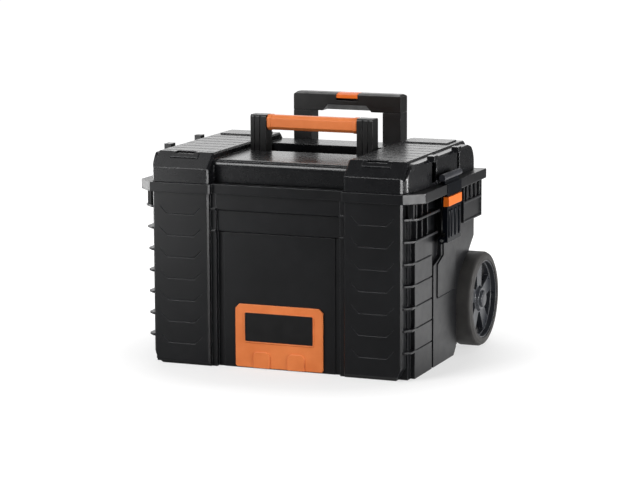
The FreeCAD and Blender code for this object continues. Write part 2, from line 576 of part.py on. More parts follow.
# Badge plate, its bare label and the two pads that are part of the plate
def make_badge():
    half = "badge_width/2"
    top = "badge_low + badge_height"
    plate = slab("badge_plate", "XZ_Plane", both_halves([
        (half + " - badge_foot", "badge_low"), (half, "badge_low + badge_foot"),
        (half, top + " - badge_corner"), (half + " - badge_corner", top)]),
        "badge_y - badge_thickness", "badge_y")
    pad = slab("badge_pad", "XZ_Plane", [
        ("pad_spacing/2 - pad_width/2", "badge_low"), ("pad_spacing/2 + pad_width/2", "badge_low"),
        ("pad_spacing/2 + pad_width/2", "badge_low + pad_height"),
        ("pad_spacing/2 - pad_width/2", "badge_low + pad_height")],
        "badge_y - badge_thickness - pad_proud", "badge_y - badge_thickness", {"pad_corner": (2, 3)})
    node("front_badge_plate", fuse("front_badge_plate", [plate] + on_both_sides([pad])))
    low = "badge_low + label_low"
    node("badge_label", block("badge_label", ("-label_width/2", "label_width/2"),
                              ("badge_y - badge_thickness - label_thickness", "badge_y - badge_thickness"),
                              (low, low + " + label_height")))


# Lid: two pillars, a lower middle with the carry handle's recess, rounded side panels
def make_lid():
    pillar = slab("lid_pillar", "YZ_Plane", [
        ("front", "lid_low"), ("front", "lid_low + lid_front"), ("front + lid_chamfer", "lid_top"),
        ("lid_y - lid_rear_chamfer", "lid_top"), ("lid_y", "lid_top - lid_rear_chamfer"),
        ("lid_y", "lid_low")],
        "pillar_inner", "pillar_half", bevel=("edge_chamfer", (0, 1, 2, 3)))
    middle = slab("lid_middle_part", "YZ_Plane", [
        ("front + lid_recess", "lid_low"), ("front + lid_recess", "lid_middle"), ("lid_y", "lid_middle"),
        ("lid_y", "lid_low")], "-pillar_inner", "pillar_inner", {"lid_round": (1,)})
    plan = slab("side_plan", "XY_Plane", [
        ("pillar_half", "front + bulge_front"),
        ("pillar_half + bulge_corner/3", "front + bulge_front + bulge_corner/2"),
        ("lid_side - bulge_corner/3", "front + bulge_mid"), ("lid_side", "front + bulge_far_length"),
        ("lid_side", "lid_y"), ("pillar_half", "lid_y")],
        "lid_low", "lid_low + bulge_height", {"bulge_round": (1,)})
    section = slab("side_section", "XZ_Plane", [
        ("pillar_half - overrun", "lid_low"), ("lid_side", "lid_low"),
        ("lid_side", "lid_low + bulge_height - bulge_top_slope"),
        ("lid_side - bulge_top_inset", "lid_low + bulge_height - bulge_top_slope/4"),
        ("pillar_half", "lid_low + bulge_height"), ("pillar_half - overrun", "lid_low + bulge_height")],
        "front", "lid_y")
    profile = slab("side_profile", "YZ_Plane", [
        ("front + bulge_front", "lid_low"), ("front + bulge_front", "lid_low + lid_front - bulge_corner/3"),
        ("front + bulge_front + lid_chamfer", "lid_low + bulge_height"),
        ("lid_y", "lid_low + bulge_height"), ("lid_y", "lid_low")],
        "pillar_half - overrun", "lid_side + overrun", {"bulge_round": (1, 2), "dome_radius": (3,)})
    side = common("lid_side_panel", common("side_in_plan", plan, section), profile)
    keeper = block("latch_keeper", ("lid_side", "bar_x - bar_radius - keeper_gap"),
                   ("latch_y - latch_width/2", "latch_y + latch_width/2"),
                   ("lid_low", "lid_low + keeper_height"))
    strip = block("rear_strip", ("pillar_inner + strip_margin", "pillar_half - strip_margin"),
                  ("lid_y - strip_rear - strip_length", "lid_y - strip_rear"),
                  ("lid_top", "lid_top + strip_height"))
    middle_of_pillar = "(pillar_inner + pillar_half)/2"
    slope = "lid_chamfer - lid_chamfer*tab_height/(lid_height - lid_front)"
    tab = slab("stack_tab", "YZ_Plane", [
        ("front + " + slope, "lid_top - tab_height"),
        ("front + " + slope + " - tab_proud", "lid_top - tab_height"),
        ("front + lid_chamfer - tab_proud", "lid_top"), ("front + lid_chamfer + tab_proud", "lid_top")],
        middle_of_pillar + " - tab_base/2", middle_of_pillar + " + tab_base/2")
    shell = fuse("lid_shell", [middle] + on_both_sides([pillar, side, keeper, strip, tab]))

    inside = slab("pillar_inside", "YZ_Plane", [
        ("front + lid_wall", "lid_low - overrun"), ("front + lid_wall", "lid_low + lid_front - lid_wall/2"),
        ("front + lid_chamfer + lid_wall/2", "lid_top - lid_wall"),
        ("lid_y - lid_rear_chamfer - lid_wall/2", "lid_top - lid_wall"),
        ("lid_y - lid_wall", "lid_top - lid_rear_chamfer - lid_wall/2"),
        ("lid_y - lid_wall", "lid_low - overrun")],
        "pillar_inner + lid_wall", "pillar_half - lid_wall")
    side_inside = block("side_inside", ("pillar_half", "lid_side - lid_wall"),
                        ("front + bulge_far_length", "lid_y - dome_radius"),
                        ("lid_low - overrun", "lid_low + bulge_height - bulge_top_slope - lid_wall"))
    recess_y = "front + recess_start"
    recess_end = "front + recess_start + recess_length"
    front_inside = block("front_inside", ("lid_wall - pillar_inner", "pillar_inner - lid_wall"),
                         ("front + lid_recess + lid_wall", recess_y + " - lid_wall"),
                         ("lid_low - overrun", "lid_middle - lid_wall"))
    rear_inside = block("rear_inside", ("lid_wall - pillar_inner", "pillar_inner - lid_wall"),
                        (recess_end + " + lid_wall", "lid_y - lid_wall"),
                        ("lid_low - overrun", "lid_middle - lid_wall"))
    under_recess = block("under_recess", ("lid_wall - pillar_inner", "pillar_inner - lid_wall"),
                         (recess_y + " - lid_wall - overrun", recess_end + " + lid_wall + overrun"),
                         ("lid_low - overrun", "recess_floor - lid_wall"))
    recess = block("carry_recess", ("-recess_half", "recess_half"), (recess_y, recess_end),
                   ("recess_floor", "lid_top + overrun"))
    side_notches = [block(name, ("lid_side - notch_depth", "lid_side + overrun"),
                          ("front + %s_start" % name, "front + %s_start + %s_length" % (name, name)),
                          ("lid_low + keeper_height", "lid_top")) for name in ("notch", "gap")]
    catches = []
    for name in ("front", "rear"):
        start = "front + %s_catch_start" % name
        catches.append(block(name + "_catch", ("lid_side - catch_inset", "lid_side + catch_reach"),
                             (start, "%s + %s_catch_length" % (start, name)),
                             ("lid_top + catch_rise - catch_height", "lid_top + catch_rise")))
    stripes = [block("stripe_%d" % i, ("pillar_inner + stripe_margin", "pillar_half - stripe_margin"),
                     ("front + stripe_start + %d*stripe_pitch" % i,
                      "front + stripe_start + %d*stripe_pitch + stripe_width" % i),
                     ("lid_top - stripe_depth", "lid_top + overrun")) for i in range(stripe_count)]
    stack_slot = block("stack_slot", (middle_of_pillar + " - slot_mouth/2",
                                      middle_of_pillar + " + slot_mouth/2"),
                       ("front + lid_chamfer + tab_proud/2",
                        "front + lid_chamfer + slot_back + tab_proud/2"),
                       ("lid_top - slot_floor", "lid_top + overrun"))
    mouth = block("slot_mouth_room", (middle_of_pillar + " - slot_mouth/2",
                                      middle_of_pillar + " + slot_mouth/2"),
                  ("front", "front + lid_chamfer + slot_back + tab_proud/2"),
                  ("lid_top - mouth_drop", "lid_top + overrun"))
    slot_box = block("slot_box", (middle_of_pillar + " - slot_mouth/2 - lid_wall",
                                  middle_of_pillar + " + slot_mouth/2 + lid_wall"),
                     ("front + lid_chamfer - lid_wall",
                      "front + lid_chamfer + slot_back + tab_proud/2 + lid_wall"),
                     ("lid_top - slot_floor - lid_wall", "lid_top - stripe_depth"))
    notch_wall = block("notch_wall", ("lid_side - notch_depth - lid_wall", "lid_side - notch_depth"),
                       ("front + notch_start - lid_wall", "front + gap_start + gap_length + lid_wall"),
                       ("lid_low", "lid_low + bulge_height - bulge_top_slope"))
    hollow = cut("lid_hollow", shell, [front_inside, rear_inside, under_recess]
                 + on_both_sides([inside, side_inside]))
    flange = ring("lid_flange", ("-lid_side + lid_wall", "lid_side - lid_wall"),
                  ("front + lid_recess", "lid_y"), ("lid_low", "lid_low + flange_thickness"),
                  "flange_width")
    cheeks = []
    for name, low, high in (("in", "hinge_centre - cheek_half - cheek_width", "hinge_centre - cheek_half"),
                            ("out", "hinge_centre + cheek_half",
                             "hinge_centre + cheek_half + cheek_width")):
        cheeks.append(rod("hinge_barrel_" + name, "x", "knuckle_radius", low, high, "hinge_y", "hinge_z"))
        cheeks.append(block("hinge_cheek_" + name, (low, high), ("lid_y - notch_reach - lid_wall", "lid_y"),
                            ("lid_low", "lid_top - lid_rear_chamfer")))
    pin_seats = [block("carry_pin_seat", ("recess_half", "recess_half + carry_pin_seat + lid_wall"),
                       ("carry_y - arm_depth/2", "carry_y + arm_depth/2"),
                       ("recess_floor - lid_wall", "lid_middle - lid_wall/2"))]
    recess_walls = ring("recess_walls", ("-recess_half - lid_wall", "recess_half + lid_wall"),
                        (recess_y + " - lid_wall", recess_end + " + lid_wall"),
                        ("recess_floor - lid_wall", "lid_middle - lid_wall/2"), "lid_wall")
    joined = fuse("lid_joined", [hollow, flange, recess_walls] + on_both_sides(
        cheeks + pin_seats + [slot_box, notch_wall]))
    bay = block("bracket_bay", ("hinge_centre - cheek_half", "hinge_centre + cheek_half"),
                ("lid_y - notch_reach", "lid_y + knuckle_radius + overrun"),
                ("lid_low - overrun", "hinge_z + notch_roof"))
    hinge_bore = rod("hinge_bore", "x", "hinge_pin_radius + running_gap",
                     "hinge_centre - cheek_half - cheek_width - overrun",
                     "hinge_centre + cheek_half + cheek_width + overrun", "hinge_y", "hinge_z")
    carry_bore = rod("carry_pin_bore", "x", "carry_pin_radius + running_gap", "recess_half - overrun",
                     "recess_half + carry_pin_seat", "carry_y", "carry_z")
    opened = cut("lid_opened", joined, [recess] + on_both_sides(
        [bay, hinge_bore, carry_bore, stack_slot, mouth] + side_notches + stripes))
    node("lid", fuse("lid", [opened] + on_both_sides(catches)))
    node("lid_seal", ring("lid_seal", ("-core_half - seal_inset", "core_half + seal_inset"),
                          ("panel_y - seal_inset", "rear + seal_inset"),
                          ("base_height - seal_depth", "base_height + lid_gap/4"), "seal_width"))


# Hinge brackets stand on the rim behind the lid; the pins join them to the lid's cheeks
def make_hinges():
    low = "hinge_centre - bracket_half"
    high = "hinge_centre + bracket_half"
    face = "lid_y + web_gap"
    foot = block("bracket_foot", (low, high), (face, face + " + bracket_rear - web_gap"),
                 ("base_height", "base_height + foot_thickness"))
    web = slab("bracket_web", "YZ_Plane", [
        (face, "base_height"), (face + " + web_rear", "base_height"),
        ("hinge_y + knuckle_radius", "hinge_z - knuckle_radius/2"), ("hinge_y", "hinge_z"),
        ("hinge_y - knuckle_radius/2", "hinge_z - knuckle_radius/2"), (face, "hinge_z - 2*knuckle_radius")],
        low, high)
    knuckle = rod("bracket_knuckle", "x", "knuckle_radius", low, high, "hinge_y", "hinge_z")
    bore = rod("bracket_bore", "x", "hinge_pin_radius + running_gap", low + " - overrun",
               high + " + overrun", "hinge_y", "hinge_z")
    holes = [rod("foot_hole_%d" % i, "z", "screw_radius + running_gap", "base_height - overrun",
                 "base_height + foot_thickness + overrun", x, y)
             for i, (x, y) in enumerate(bracket_screw_places()[:2])]
    pair("hinge_bracket", cut("hinge_bracket", fuse("bracket_solid", [foot, web, knuckle]), [bore] + holes))
    pair("hinge_pin", rod("hinge_pin", "x", "hinge_pin_radius", "hinge_centre - cheek_half - cheek_width",
                          "hinge_centre + cheek_half + cheek_width", "hinge_y", "hinge_z"))


# Carry handle: arms that turn on pins in the recess, a steel rod between them, the grip over it
def make_carry_handle():
    inner = "carry_half - arm_width"
    arm_body = slab("arm_body", "YZ_Plane", [
        ("carry_y - arm_depth/2", "carry_z"), ("carry_y - arm_depth/2", "carry_top"),
        ("carry_y + arm_depth/2", "carry_top"), ("carry_y + arm_depth/2", "carry_z")],
        inner, "carry_half", {"arm_chamfer": (1, 2)})
    arm_round = rod("arm_round", "x", "arm_depth/2", inner, "carry_half", "carry_y", "carry_z")
    grip_top = "carry_top - grip_top_drop"
    rod_z = "carry_top - grip_top_drop - grip_height/2"
    pin_bore = rod("arm_pin_bore", "x", "carry_pin_radius + running_gap", "carry_half - carry_pin_reach",
                   "carry_half + overrun", "carry_y", "carry_z")
    rod_bore = rod("arm_rod_bore", "x", "carry_rod_radius + running_gap", inner + " - overrun",
                   inner + " + carry_rod_reach", "carry_y", rod_z)
    grooves = []
    for i in range(1, arm_groove_count + 1):
        start = inner + " + %d*arm_width/%d" % (i, arm_groove_count + 1)
        grooves.append(block("arm_groove_%d" % i, (start, start + " + arm_groove_width"),
                             ("carry_y - arm_depth/2 - overrun", "carry_y - arm_depth/2 + arm_groove_depth"),
                             ("carry_z", "carry_top + overrun")))
    pair("carry_arm", cut("carry_arm", fuse("arm_solid", [arm_body, arm_round]),
                          [pin_bore, rod_bore] + grooves))
    half = "grip_depth/2"
    corners = [("carry_y - %s" % half, grip_top + " - grip_height + grip_chamfer"),
               ("carry_y - %s" % half, grip_top + " - grip_chamfer"),
               ("carry_y - %s + grip_chamfer" % half, grip_top),
               ("carry_y + %s - grip_chamfer" % half, grip_top),
               ("carry_y + %s" % half, grip_top + " - grip_chamfer"),
               ("carry_y + %s" % half, grip_top + " - grip_height + grip_chamfer"),
               ("carry_y + %s - grip_chamfer" % half, grip_top + " - grip_height"),
               ("carry_y - %s + grip_chamfer" % half, grip_top + " - grip_height")]
    grip = slab("grip_section", "YZ_Plane", corners, "-(%s)" % inner, inner)
    bore = rod("grip_bore", "x", "carry_rod_radius + running_gap", "-carry_half", "carry_half", "carry_y",
               rod_z)
    node("carry_grip", cut("carry_grip", grip, [bore]))
    node("carry_rod", rod("carry_rod", "x", "carry_rod_radius", "-(%s) - carry_rod_reach" % inner,
                          inner + " + carry_rod_reach", "carry_y", rod_z))
    pair("carry_pin", rod("carry_pin", "x", "carry_pin_radius", "carry_half - carry_pin_reach",
                          "recess_half + carry_pin_seat", "carry_y", "carry_z"))


# Side latches: a lever on a low pin, an orange pull tab and a round bar along its top
def make_latches():
    low = "latch_y - latch_width/2"
    high = "latch_y + latch_width/2"
    sides = (("near", "lever_low", "lever_low + barrel_length"),
             ("far", "lever_high - barrel_length", "lever_high"))
    plate = block("lever_plate", ("lever_x", "lever_face"), ("lever_low", "lever_high"),
                  ("latch_pivot_z - lever_drop", "tab_low"))
    back = block("lever_back_part", ("lever_face - lever_back", "lever_x"), ("lever_low", "lever_high"),
                 ("lever_knee", "tab_low"))
    neck = block("lever_neck", ("lever_face - lever_back", "tab_x"), ("lever_low", high),
                 ("tab_low", "lever_top"))
    barrels = [rod("latch_barrel_" + name, "y", "barrel_radius", near, far, "latch_x", "latch_pivot_z")
               for name, near, far in sides]
    barrels += [block("latch_arm_" + name, ("latch_x", "lever_x"), (near, far),
                      ("latch_pivot_z - lever_drop", "latch_pivot_z + barrel_radius"))
                for name, near, far in sides]
    hook = block("hook", ("hook_x - hook_thickness", "hook_x"), (low, high),
                 ("hook_low", "base_height + hook_rise"))
    saddle = block("saddle", ("hook_x - hook_thickness", "bar_x + bar_radius - saddle_inset"), (low, high),
                   ("base_height", "bar_z"))
    bar = rod("latch_bar", "y", "bar_radius", "latch_y - bar_length/2", "latch_y + bar_length/2", "bar_x",
              "bar_z")
    room = rod("bar_room", "y", "bar_radius", "latch_y - bar_length/2", "latch_y + bar_length/2", "bar_x",
               "bar_z")
    bore = rod("latch_bore", "y", "latch_pin_radius + running_gap", "lever_low - overrun",
               "lever_high + overrun", "latch_x", "latch_pivot_z")
    solid = fuse("latch_solid", [plate, back, neck, hook, saddle] + barrels)
    pair("latch_lever", cut("latch_lever", solid, [room, bore]))
    pair("latch_bar", bar)
    pair("latch_tab", slab("latch_tab", "XZ_Plane", [
        ("tab_x", "tab_low"), ("hook_x + tab_reach/2", "tab_low"),
        ("hook_x + tab_reach", "tab_low + tab_reach/2"), ("hook_x + tab_reach", "tab_low + tab_rise"),
        ("tab_x", "tab_low + tab_rise")], "latch_y - tab_near", "latch_y + tab_far"))
    pair("latch_pin", rod("latch_pin", "y", "latch_pin_radius", "lever_low", "lever_high", "latch_x",
                          "latch_pivot_z"))


# Wheels: tyre, spoked hub, bush, axle nut and cap, all turned about the axle
def turned(label, points):
    body = doc.addObject("PartDesign::Body", label)
    sketch = sketch_on(body, "XZ_Plane", points)
    revolution = body.newObject("PartDesign::Revolution", label + "_turn")
    revolution.Profile = sketch
    revolution.ReferenceAxis = (sketch, ["H_Axis"])
    settle(body, Placement__Base__y="axle_y", Placement__Base__z="axle_z")
    return body


def make_wheels():
    boss_out = "tyre_outer - boss_inset"
    node("axle", rod("axle", "x", "axle_radius", "-(%s + axle_end)" % boss_out, boss_out + " + axle_end",
                     "axle_y", "axle_z"))
    pair("tyre", turned("tyre", [
        ("tyre_inner", "hub_radius"), ("tyre_outer", "hub_radius"),
        ("tyre_outer", "wheel_radius - tyre_shoulder"),
        ("tyre_outer - tyre_shoulder/3", "wheel_radius - tyre_shoulder/3"),
        ("tyre_outer - tyre_shoulder", "wheel_radius"), ("tyre_inner + tyre_shoulder", "wheel_radius"),
        ("tyre_inner + tyre_shoulder/3", "wheel_radius - tyre_shoulder/3"),
        ("tyre_inner", "wheel_radius - tyre_shoulder")]))
    bush_radius = "axle_radius + running_gap + bush_wall"
    web_out = "tyre_outer - web_inset"
    web_in = "tyre_outer - web_inset - web_thickness"
    hub = turned("hub", [
        ("tyre_inner + hub_inset", bush_radius), (boss_out, bush_radius),
        (boss_out, "hub_boss_radius - boss_slope"), (web_out, "hub_boss_radius"),
        (web_out, "hub_radius - hub_rim"),
        ("tyre_outer - hub_inset", "hub_radius - hub_rim"), ("tyre_outer - hub_inset", "hub_radius"),
        ("tyre_inner + hub_inset", "hub_radius"), ("tyre_inner + hub_inset", "hub_radius - hub_rim"),
        (web_in, "hub_radius - hub_rim"), (web_in, "hub_boss_radius"),
        ("tyre_inner + hub_inset", "hub_boss_radius")])
    doc.recompute()
    solid = hub.Shape.Volume
    span = "(hub_radius - hub_rim - hub_boss_radius - 2*window_gap)"
    reach = "(hub_boss_radius + window_gap + %s*" + span + ")*%s(%s deg)"
    window = sketch_on(hub, "YZ_Plane", [(reach % (share, "cos", turn), reach % (share, "sin", turn))
                                         for share, turn in window_shares])
    pocket = hub.newObject("PartDesign::Pocket", "hub_window")
    pocket.Profile = window
    pocket.Type = "ThroughAll"
    pocket.Midplane = True
    pattern = hub.newObject("PartDesign::PolarPattern", "hub_windows")
    pattern.Originals = [pocket]
    pattern.Axis = (plane_of(hub, "X_Axis"), [""])
    pattern.Angle = 360
    pattern.Occurrences = spoke_count
    hub.Tip = pattern
    doc.recompute()
    print("hub windows take", round(1 - hub.Shape.Volume / solid, 3), "of the hub")
    pair("hub", hub)
    pair("wheel_bush", turned("wheel_bush", [
        ("tyre_inner + hub_inset", "axle_radius + running_gap"), (boss_out, "axle_radius + running_gap"),
        (boss_out, bush_radius), ("tyre_inner + hub_inset", bush_radius)]))
    nut = cut("axle_nut", rod("nut_disc", "x", "nut_radius", boss_out + " + slide_gap",
                              boss_out + " + nut_height", "axle_y", "axle_z"),
              [rod("nut_bore", "x", "axle_radius", boss_out + " - overrun", boss_out + " + axle_end",
                   "axle_y", "axle_z")])
    pair("axle_nut", nut)
    room = "nut_radius + slide_gap"
    pair("hub_cap", turned("hub_cap", [
        (boss_out, room), (boss_out, "cap_radius"), (boss_out + " + cap_height", "cap_radius - cap_height/2"),
        (boss_out + " + cap_height + cap_crown", "cap_radius/2"),
        (boss_out + " + cap_height + cap_crown", "0"),
        (boss_out + " + cap_height", "0"), (boss_out + " + cap_height", room)]))


# Tow handle: hollow posts, two stages of square tube guided by collars and feet, head and button
def tube(label, x, y, width, depth, z, wall):
    outer = block(label + "_outer", ("%s - (%s)/2" % (x, width), "%s + (%s)/2" % (x, width)),
                  ("%s - (%s)/2" % (y, depth), "%s + (%s)/2" % (y, depth)), z)
    inner = block(label + "_bore", ("%s - (%s)/2 + %s" % (x, width, wall),
                                    "%s + (%s)/2 - (%s)" % (x, width, wall)),
                  ("%s - (%s)/2 + %s" % (y, depth, wall), "%s + (%s)/2 - (%s)" % (y, depth, wall)),
                  ("%s - overrun" % z[0], "%s + overrun" % z[1]))
    return cut(label, outer, [inner])


def make_tow_handle():
    x, y = "post_half", "post_y"
    column = block("post_column", (x + " - post_width/2", x + " + post_width/2"),
                   (y + " - post_depth/2", y + " + post_depth/2"), ("post_low", "post_top"))
    ears = block("post_ears", (x + " - post_width/2 - flange_ear", x + " + post_width/2 + flange_ear"),
                 ("rear", "rear + post_stand_off"), ("mount_low", "mount_high"))
    bore = block("post_bore", (x + " - bore_width/2", x + " + bore_width/2"),
                 (y + " - bore_depth/2", y + " + bore_depth/2"),
                 ("post_low + post_wall/2", "post_top + overrun"))
    seat = block("collar_room", (x + " - bore_width/2 - collar_seat", x + " + bore_width/2 + collar_seat"),
                 (y + " - bore_depth/2 - collar_seat", y + " + bore_depth/2 + collar_seat"),
                 ("post_top - collar_height", "post_top + overrun"))
    holes = [rod("ear_hole_%d" % i, "y", "screw_radius + running_gap", "rear - overrun",
                 "rear + post_stand_off + overrun", sx, sz)
             for i, (sx, sz) in enumerate(post_screw_places()[:4])]
    pair("handle_post", cut("handle_post", fuse("post_solid", [column, ears]), [bore, seat] + holes))
    pair("post_collar", tube("post_collar", x, y, "bore_width + 2*collar_seat",
                             "bore_depth + 2*collar_seat",
                             ("post_top - collar_height", "post_top"),
                             "tube_play + collar_seat - slide_gap"))
    pair("middle_tube", tube("middle_tube", x, y, "middle_width", "middle_depth",
                             ("middle_low", "middle_top"), "tube_wall"))
    pair("middle_foot", tube("middle_foot", x, y, "bore_width - 2*slide_gap", "bore_depth - 2*slide_gap",
                             ("middle_low", "middle_low + collar_height"), "tube_play - slide_gap"))
    pair("middle_collar", tube("middle_collar", x, y, "middle_width - 2*tube_wall",
                               "middle_depth - 2*tube_wall",
                               ("middle_top - collar_height", "middle_top"), "tube_play - slide_gap"))
    pin_z = "inner_low + lock_pin_rise"
    lock_bore = rod("lock_bore", "x", "lock_pin_radius + running_gap", x, x + " + post_width/2", y, pin_z)
    stage = tube("stage_tube", x, y, "inner_width", "inner_depth", ("inner_low", "head_low + head_lug"),
                 "tube_wall")
    pair("inner_tube", cut("inner_tube", stage, [lock_bore]))
    foot = tube("foot_ring", x, y, "middle_width - 2*tube_wall - 2*slide_gap",
                "middle_depth - 2*tube_wall - 2*slide_gap",
                ("inner_low", "inner_low + collar_height"), "tube_play - slide_gap")
    pair("inner_foot", cut("inner_foot", foot, [lock_bore]))
    pair("lock_pin", rod("lock_pin", "x", "lock_pin_radius",
                         x + " + inner_width/2 - tube_wall - lock_pin_radius",
                         x + " + inner_width/2 + tube_play - slide_gap", y, pin_z))


def make_head():
    x, y = "post_half", "post_y"
    end = "post_half + leg_width/2"
    front = "post_y - post_depth/2"
    back = "post_y + post_depth/2"
    outline = slab("head_outline", "XZ_Plane", both_halves([
        (end, "head_low"), (end, "head_top - head_chamfer"), (end + " - head_chamfer", "head_top")]),
        front, back)
    relief_front = slab("relief_front", "XZ_Plane", both_halves([
        ("relief_low/2", "head_low - overrun"), ("relief_low/2", "head_low"),
        ("relief_high/2", "head_low + relief_height"),
        ("relief_high/2", "head_low + relief_height + overrun")]), front + " - overrun", back)
    relief_slope = slab("relief_slope", "YZ_Plane", [
        (front + " - overrun", "head_low - overrun"),
        (front + " + relief_depth*(1 + overrun/relief_height)", "head_low - overrun"),
        (front + " - overrun", "head_low + relief_height*(1 + overrun/relief_depth)")],
        "-relief_low", "relief_low")
    relief = common("head_relief", relief_front, relief_slope)
    crown = slab("head_crown_section", "YZ_Plane", [
        (front, "head_low"), (front, "head_top - head_crown"), (front + " + crown_run", "head_top"),
        (back + " - crown_run", "head_top"), (back, "head_top - head_crown"), (back, "head_low")],
        "-(%s)" % end, end)
    button_half = "button_width/2 + button_gap"
    slot = "head_top - button_height - release_bar_height - button_travel - button_gap"
    well = block("button_well", ("-(%s)" % button_half, button_half),
                 (front + " - overrun", front + " + button_depth + button_gap"),
                 ("bar_top - button_travel - button_gap", "head_top + overrun"))
    bar_slot = block("bar_slot", ("-post_half - rod_radius - 2*button_gap",
                                  "post_half + rod_radius + 2*button_gap"),
                     (y + " - release_bar_width/2 - button_gap", y + " + release_bar_width/2 + button_gap"),
                     (slot, "bar_top + button_gap"))
    sockets = block("tube_socket", (x + " - inner_width/2", x + " + inner_width/2"),
                    (y + " - inner_depth/2", y + " + inner_depth/2"),
                    ("head_low - overrun", "head_low + head_lug"))
    rod_bore = rod("rod_bore", "z", "spring_radius + button_gap", "head_low + head_lug", "bar_top", x, y)
    node("tow_head", cut("tow_head", common("head_solid", outline, crown),
                         [well, bar_slot, relief] + on_both_sides([sockets, rod_bore])))
    node("release_button", slab("release_button", "YZ_Plane", [
        (front, "bar_top"), (front + " + button_depth", "bar_top"), (front + " + button_depth", "head_top"),
        (front + " + crown_run", "head_top"), (front, "head_top - head_crown")], "-button_width/2",
        "button_width/2"))
    bar_low = "bar_top - release_bar_height"
    node("release_bar", block("release_bar", ("-post_half - rod_radius", "post_half + rod_radius"),
                              (y + " - release_bar_width/2", y + " + release_bar_width/2"),
                              (bar_low, "bar_top")))
    rod_low = "inner_low + lock_pin_rise + lock_pin_radius + rod_foot"
    pair("push_rod", rod("push_rod", "z", "rod_radius", rod_low, bar_low, x, y))
    spring = rod("spring_outer", "z", "spring_radius", "head_low + head_lug", bar_low, x, y)
    pair("button_spring", cut("button_spring", spring, [
        rod("spring_inner", "z", "spring_radius - spring_wall", "head_low", "head_top", x, y)]))


node("bin", make_bin())
make_screws()
make_badge()
make_lid()
make_hinges()
make_carry_handle()
make_latches()
make_wheels()
make_tow_handle()
make_head()
doc.recompute()

# Nothing is written unless every piece came out whole
faults = [piece.Label for piece in doc.Objects if {"Invalid", "Error"} & set(piece.State)]
faults += [piece.Label for piece in nodes if piece.Shape.isNull() or not piece.Shape.isValid()]
if faults:
    raise SystemExit("failed: " + ", ".join(faults))
os.makedirs("parts", exist_ok=True)
for piece in nodes:
    piece.Shape.exportStep("parts/%s.step" % piece.Label)
    print(piece.Label, len(piece.Shape.Solids), round(piece.Shape.Volume))
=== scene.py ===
import math

import bmesh
import bpy
from mathutils import Matrix, Vector


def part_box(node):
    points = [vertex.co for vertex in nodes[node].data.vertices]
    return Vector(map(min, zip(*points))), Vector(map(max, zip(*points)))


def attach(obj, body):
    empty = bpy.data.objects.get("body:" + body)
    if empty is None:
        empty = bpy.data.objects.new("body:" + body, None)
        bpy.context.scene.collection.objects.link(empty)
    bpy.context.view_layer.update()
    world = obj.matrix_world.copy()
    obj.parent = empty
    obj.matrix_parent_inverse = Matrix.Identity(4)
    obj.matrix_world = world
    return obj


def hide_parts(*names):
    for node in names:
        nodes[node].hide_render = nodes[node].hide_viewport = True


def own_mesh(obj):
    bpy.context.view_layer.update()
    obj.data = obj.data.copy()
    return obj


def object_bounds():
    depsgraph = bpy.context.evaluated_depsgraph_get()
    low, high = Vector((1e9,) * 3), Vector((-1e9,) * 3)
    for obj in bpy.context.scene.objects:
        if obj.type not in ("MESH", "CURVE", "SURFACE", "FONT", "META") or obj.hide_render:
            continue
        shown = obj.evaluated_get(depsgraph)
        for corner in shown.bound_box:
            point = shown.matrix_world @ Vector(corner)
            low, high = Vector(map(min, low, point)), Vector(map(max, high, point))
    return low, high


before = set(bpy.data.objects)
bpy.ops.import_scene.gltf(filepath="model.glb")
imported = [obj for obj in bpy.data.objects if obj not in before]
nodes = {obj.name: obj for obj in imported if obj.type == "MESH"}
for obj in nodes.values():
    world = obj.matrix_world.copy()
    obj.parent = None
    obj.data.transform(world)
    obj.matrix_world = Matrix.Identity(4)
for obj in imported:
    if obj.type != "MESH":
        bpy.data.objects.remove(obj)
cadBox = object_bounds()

scene = bpy.context.scene
sides = ("right", "left")


def pairOf(name):
    return [name + "_" + side for side in sides]


# Small helpers for the finishes
def link(tree, fromNode, fromSocket, toNode, toSocket):
    tree.links.new(fromNode.outputs[fromSocket], toNode.inputs[toSocket])


def mathOf(tree, operation, *sources):
    node = tree.nodes.new("ShaderNodeMath")
    node.operation = operation
    for place, (source, socket) in enumerate(sources):
        link(tree, source, socket, node, place)
    return node


def rangeOf(tree, source, socket, span, levels):
    spread = tree.nodes.new("ShaderNodeMapRange")
    for name, value in zip(("From Min", "From Max", "To Min", "To Max"), (*span, *levels)):
        spread.inputs[name].default_value = value
    link(tree, source, socket, spread, "Value")
    return spread


# what the finishes share: noise, and how far a rounded edge turns before it gets its painted highlight
# (cosines)
surface = {"mottleDetail": 3, "fineDetail": 2, "noiseRoughness": 0.55, "noiseSpan": (0.3, 0.7),
           "edgeSamples": 4, "highlightSpan": (0.72, 0.92)}
colourA, colourB, colourMixed = 6, 7, 2  # the colour sockets of a mix node


def noiseAt(tree, coords, scale, detail, stretch=(1, 1, 1)):
    mapping = tree.nodes.new("ShaderNodeMapping")
    mapping.inputs["Scale"].default_value = stretch
    link(tree, coords, "Object", mapping, "Vector")
    noise = tree.nodes.new("ShaderNodeTexNoise")
    noise.inputs["Scale"].default_value = scale
    noise.inputs["Detail"].default_value = detail
    noise.inputs["Roughness"].default_value = surface["noiseRoughness"]
    link(tree, mapping, "Vector", noise, "Vector")
    return noise


def rampOf(tree, source, socket, places, colours):
    ramp = tree.nodes.new("ShaderNodeValToRGB")
    for element, place, colour in zip(ramp.color_ramp.elements, places, colours):
        element.position = place
        element.color = (*colour, 1)
    link(tree, source, socket, ramp, "Fac")
    return ramp


